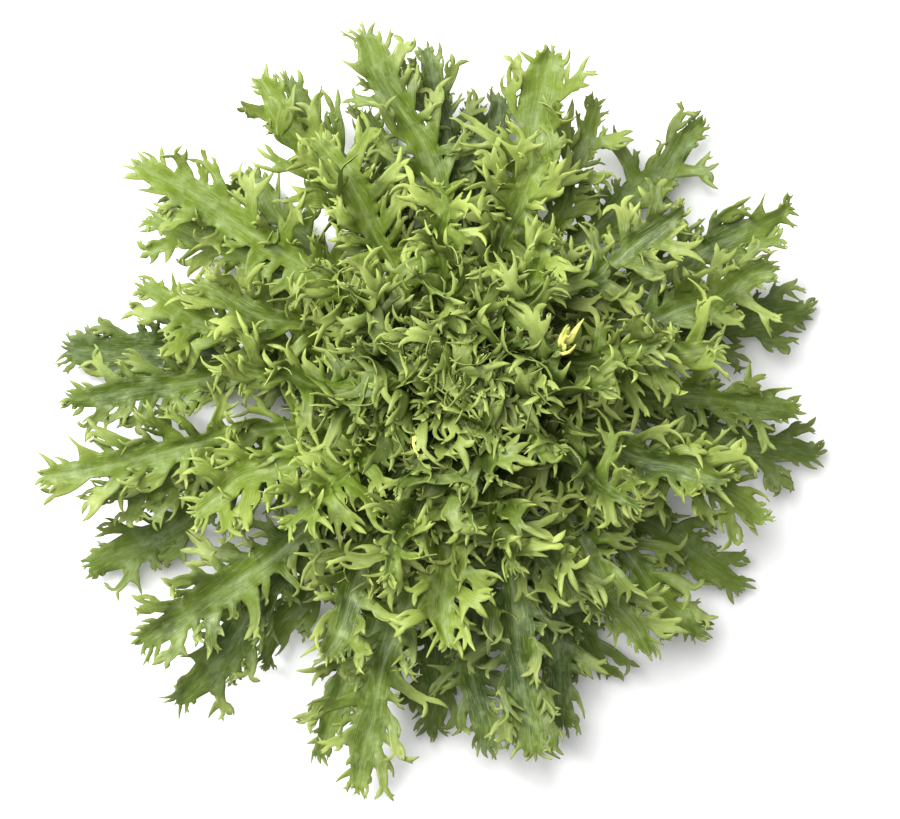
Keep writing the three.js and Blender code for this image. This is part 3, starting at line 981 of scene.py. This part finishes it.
def leaf_material(slot):
    """Leaf green in slow patches and fine streaks, lighter on veins, the rib and the tips, with painted sheen
    in pale patches, yellow on the pale lobes, and painted shade deep inside the head."""
    dark, light, tip_green, rib_and_sheen_green = (srgb(*colour) for colour in LEAF_COLOURS[slot])
    wiring = Wiring(f"{slot}_green")
    place = wiring.object_place()
    grain = wiring.fact("grain", "Vector")
    patches = wiring.noise(place, 55, 3.0)
    creases_and_sheen = wiring.noise(place, 160, 3.0)
    blisters = wiring.noise(place, 420, 2.0)
    streaks = wiring.noise(grain, 1.0, 3.0, stretch=(1.1, 0.14, 1))
    veins = wiring.noise(grain, 1.0, 2.0, stretch=(2.0, 0.16, 1))

    patched = wiring.math("MULTIPLY", patches, PATCH_WEIGHT)
    mottled = wiring.math("ADD", patched, wiring.math("MULTIPLY", streaks, STREAK_WEIGHT))
    toned = wiring.math("ADD", mottled, wiring.math("MULTIPLY", wiring.fact("tone"), TONE_WEIGHT))
    green = wiring.blend(wiring.span(toned, *GREEN_SUMS), dark, light)
    green = wiring.blend(wiring.span(veins, 0.48, 0.72, 0.0, VEIN_SHARE), green, rib_and_sheen_green)
    # Painted sheen: pale patches of the rib's green stand in for soft highlights
    green = wiring.blend(wiring.span(creases_and_sheen, 0.5, 0.72, 0.0, PAINTED_SHEEN_SHARE), green, rib_and_sheen_green)
    # Paler towards the tips: partly the leaf's own paler ends, partly painted shade keeping the blades darker
    # than the lit lobes
    green = wiring.blend(wiring.span(wiring.fact("tip"), 0.15, 1.0, 0.0, TIP_SHARE), green, tip_green)
    rib_share = wiring.math("MULTIPLY", wiring.span(wiring.fact("rib"), 0.1, 0.9), RIB_SHARE)
    green = wiring.blend(rib_share, green, rib_and_sheen_green)
    green = wiring.blend(wiring.fact("pale"), green, srgb(*PALE_COLOUR))
    # Painted shade: lower down in the middle of the head the leaves darken to near black
    if slot in PAINTED_SHADE_HEIGHTS:
        green = wiring.blend(wiring.span(wiring.height(), *PAINTED_SHADE_HEIGHTS[slot]), srgb(*PAINTED_SHADE_COLOUR), green)

    relief = wiring.bump(creases_and_sheen, 0.5, 0.0012)
    relief = wiring.bump(veins, 0.25, 0.0004, relief)
    relief = wiring.bump(blisters, 0.25, 0.0004, relief)
    shader = wiring.shader
    wiring.plug(shader.inputs["Base Color"], green)
    wiring.plug(shader.inputs["Roughness"], wiring.span(blisters, 0.3, 0.7, *LEAF_ROUGHNESS))
    wiring.plug(shader.inputs["Normal"], relief)
    shader.inputs["Specular IOR Level"].default_value = LEAF_MIRRORING
    return wiring.material


def whorl_plans(whorl, number):
    """The leaves of a whorl, their roots nearly evenly spaced round the stump, as in the CAD."""
    leaves = whorl["leaves"]
    count = len(leaves)
    root_height = LOWEST_ROOT + ROOT_STEP * whorl["level"]
    drift = sum(leaf[0] - 360 * k / count for k, leaf in enumerate(leaves)) / count
    plans = []
    for k, (tip_azimuth, reach, half_width) in enumerate(leaves):
        plans.append({
            **whorl,
            "name": f"{whorl['name']}_{k + 1:02d}",
            "seed": WHORL_SEEDS * (number + 1) + k,
            "stalk_lobe_rows": STALK_LOBE_ROWS,
            "root_azimuth": lerp(tip_azimuth, drift + 360 * k / count, EVEN_SPACING),
            "root_height": root_height,
            "root_reach": stump_radius(root_height) + ROOT_GAP,
            "tip_azimuth": tip_azimuth,
            "reach": reach,
            "half_width": half_width,
        })
    return plans


def heart_plans():
    """The heart's small leaves, each a golden angle on from the last, the farthest first."""
    last = FINE_HEART_LEAVES - 1
    plans = []
    for k in range(FINE_HEART_LEAVES):
        inward = (k / last) ** 0.85
        plans.append({
            **HEART_LEAF,
            "seed": HEART_SEEDS + k,
            "level": lerp(HEART["far_level"], HEART["near_level"], inward),
            "root_azimuth": GOLDEN_ANGLE * k,
            "root_height": lerp(HEART["lowest_root"], HEART["highest_root"], k / last),
            "root_reach": HEART["root_reach"],
            "tip_azimuth": GOLDEN_ANGLE * k,
            "reach": lerp(HEART["far_reach"], HEART["near_reach"], inward),
        })
    return plans


def leaf_tone(plan):
    if plan["name"] in LIGHT_LEAVES:
        return LIGHT_TONE
    if plan["name"] in DARK_LEAVES:
        return DARK_TONE
    return Dice(plan["seed"] + TONE_SEEDS).roll(*OTHER_TONES)


def add_leaves():
    for number, whorl in enumerate(WHORLS):
        slot = whorl["name"]
        material = leaf_material(slot)
        for plan in whorl_plans(whorl, number):
            name = f"fine_{plan['name']}"
            mesh = skin_mesh(name, [leaf_skin(plan)], leaf_tone(plan))
            add_piece(name, mesh, material, plan["name"])


def add_heart():
    """Many small curled leaves on their slim core."""
    low = STUMP_TOP + ROOT_GAP
    wide, tip, top = HEART["core_radius"], HEART["core_tip_radius"], HEART["core_top"]
    profile = [(0, low), (wide, low), (wide, low + 1)]
    profile += [(lerp(wide, tip, k / 4), lerp(low, top - 2, k / 4)) for k in (1, 2, 3, 4)]
    profile += [(0.7 * tip, top - 0.6), (0, top)]
    core = lathed(profile, sides=24, wobble=0.3, seed=77)
    leaves = [leaf_skin(plan) for plan in heart_plans()]
    mesh = skin_mesh("fine_heart", [core] + leaves, EVEN_TONE)
    add_piece("fine_heart", mesh, leaf_material("heart"), "heart")


# Stump colours as a screen shows them
FLESH_COLOUR = (226, 222, 190)
SIDE_GREEN = (176, 190, 128)
CUT_BROWN = (158, 118, 70)


def stump_material():
    """Pale stalk flesh, browned in rings on the cut face and greener up its sides."""
    wiring = Wiring("stump_flesh")
    place = wiring.object_place()
    height = wiring.height()
    pale, green, brown = srgb(*FLESH_COLOUR), srgb(*SIDE_GREEN), srgb(*CUT_BROWN)
    flesh = wiring.blend(wiring.span(height, 0.002, 0.02), pale, green)
    flesh = wiring.blend(wiring.span(wiring.noise(place, 180, 3.0), 0.45, 0.75, 0.0, 0.35), flesh, green)

    # A ring at about 10 mm from the axis and the rim of the face, both ragged, and only on the cut face
    radius = wiring.new("ShaderNodeVectorMath", operation="LENGTH")
    wiring.plug(radius.inputs[0], place)
    raggedness = wiring.math("MULTIPLY", wiring.noise(place, 300), 0.003)
    ragged = wiring.math("ADD", radius.outputs["Value"], raggedness)
    ring_inside = wiring.span(ragged, 0.0085, 0.0098)
    ring_outside = wiring.span(ragged, 0.0118, 0.0102)
    ring = wiring.math("MULTIPLY", ring_inside, ring_outside)
    rim = wiring.span(ragged, 0.0138, 0.0152)
    on_face = wiring.span(height, 0.0012, 0.0003)
    browned = wiring.math("MULTIPLY", wiring.math("MAXIMUM", ring, rim), on_face)
    flesh = wiring.blend(wiring.math("MULTIPLY", browned, 0.7), flesh, brown)

    shader = wiring.shader
    wiring.plug(shader.inputs["Base Color"], flesh)
    wiring.plug(shader.inputs["Roughness"], wiring.span(wiring.noise(place, 500), 0.3, 0.7, 0.42, 0.6))
    wiring.plug(shader.inputs["Normal"], wiring.bump(wiring.noise(place, 700, 3.0), 0.4, 0.0004))
    return wiring.material


# The fine stump: the rings of points up its sides, how far they stay inside the CAD's, and the leaf scars,
# one ring in so many, cut so deep
STUMP_RINGS = 23
STUMP_INSET = 0.35
RINGS_PER_SCAR = 4
SCAR_DEPTH = 0.45


def add_stump():
    """The stem base: a flat cut face, a rounded edge, and sides uneven with leaf scars."""
    profile = [(0, 0), (0.35 * CUT_FACE_RADIUS, 0), (0.7 * CUT_FACE_RADIUS, 0), (CUT_FACE_RADIUS, 0)]
    profile.append((lerp(CUT_FACE_RADIUS, stump_radius(CUT_BEVEL), 0.75), 0.5))
    for k in range(STUMP_RINGS):
        height = lerp(CUT_BEVEL, STUMP_TOP - 1, k / (STUMP_RINGS - 1))
        scar = SCAR_DEPTH if k % RINGS_PER_SCAR == RINGS_PER_SCAR - 1 else 0.0
        profile.append((stump_radius(height) - STUMP_INSET - scar, height))
    top = stump_radius(STUMP_TOP)
    profile += [(0.85 * top, STUMP_TOP - 0.2), (0.5 * top, STUMP_TOP), (0, STUMP_TOP)]
    mesh = skin_mesh("fine_stump", [lathed(profile, sides=72, wobble=0.12, seed=55)], EVEN_TONE)
    add_piece("fine_stump", mesh, stump_material(), "stump")


def add_light(name, place, aim, size, power):
    light = bpy.data.lights.new(name, "AREA")
    light.shape = "DISK"
    light.size = size
    light.energy = power
    lamp = add_object(name, light)
    lamp.location = place
    lamp.rotation_euler = (Vector(aim) - Vector(place)).to_track_quat("-Z", "Y").to_euler()


def add_stage():
    """A white table, soft light from the upper left, and an even white sky."""
    size = TABLE_HALF_SIDE
    mesh = bpy.data.meshes.new("table")
    corners = [(-size, -size, 0), (size, -size, 0), (size, size, 0), (-size, size, 0)]
    mesh.from_pydata(corners, [], [(0, 1, 2, 3)])
    table = add_object("table", mesh)
    white = Wiring("white_table")
    white.shader.inputs["Base Color"].default_value = TABLE_WHITE
    white.shader.inputs["Roughness"].default_value = TABLE_ROUGHNESS
    mesh.materials.append(white.material)
    world = bpy.data.worlds.new("sky")
    world.use_nodes = True
    sky = world.node_tree.nodes["Background"]
    sky.inputs["Color"].default_value = SKY_WHITE
    sky.inputs["Strength"].default_value = SKY_STRENGTH
    bpy.context.scene.world = world
    for lamp in LAMPS:
        add_light(*lamp)
    bpy.context.scene.view_settings.view_transform = "Standard"


def add_camera():
    """Straight down, with the photograph's frame laid over the middle of the leaves' heights."""
    camera = bpy.data.cameras.new("camera")
    camera.sensor_fit = "HORIZONTAL"
    camera.sensor_width = SENSOR_WIDTH
    camera.lens = camera.sensor_width * (CAMERA_HEIGHT - FRAMED_HEIGHT) / FRAMED_WIDTH
    eye = add_object("camera", camera)
    eye.location = (*FRAMED_MIDDLE, CAMERA_HEIGHT)
    bpy.context.scene.camera = eye


add_camera()
add_stage()
add_stump()
add_leaves()
add_heart()
